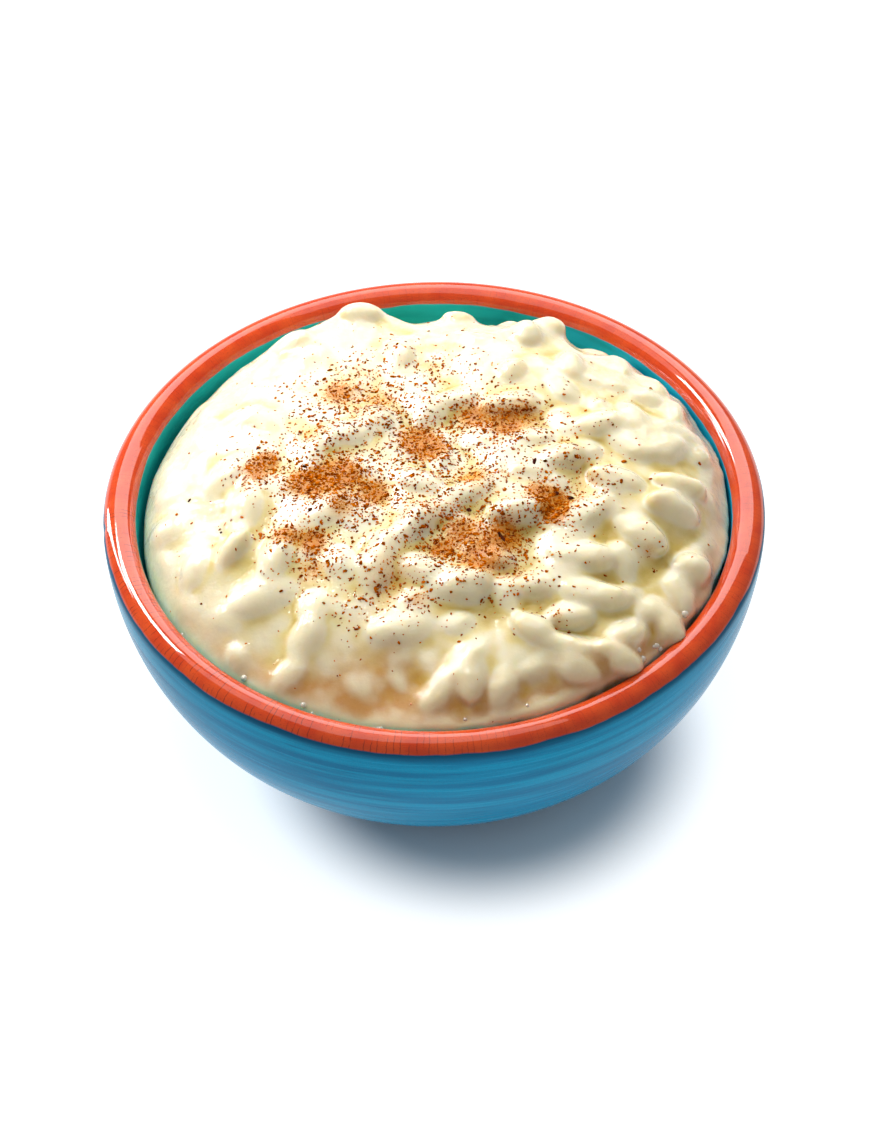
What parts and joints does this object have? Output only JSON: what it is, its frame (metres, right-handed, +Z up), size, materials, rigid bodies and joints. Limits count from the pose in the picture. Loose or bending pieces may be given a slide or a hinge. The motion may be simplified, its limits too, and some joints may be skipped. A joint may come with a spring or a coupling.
{
  "type": "rice pudding in a bowl",
  "caption": "Creamy rice pudding heaped above the rim of a round, steep-sided glazed bowl with a thick rounded rim and a flat foot.",
  "frame": {"origin": "on the table, under the middle of the bowl", "axes": "+Z up along the bowl's turning axis; -Y is the side the heap slopes gently down to, +Y is the side where it stands back from the wall"},
  "size_m": [0.1202, 0.1202, 0.0592],
  "materials": {
    "glaze": "glossy brushed blue glaze, orange-red on the rim",
    "pudding": "wet, milky and translucent, dusted with cinnamon"
  },
  "bodies": {
    "root": {"bowl": "glaze", "pudding": "pudding"}
  },
  "joints": []
}
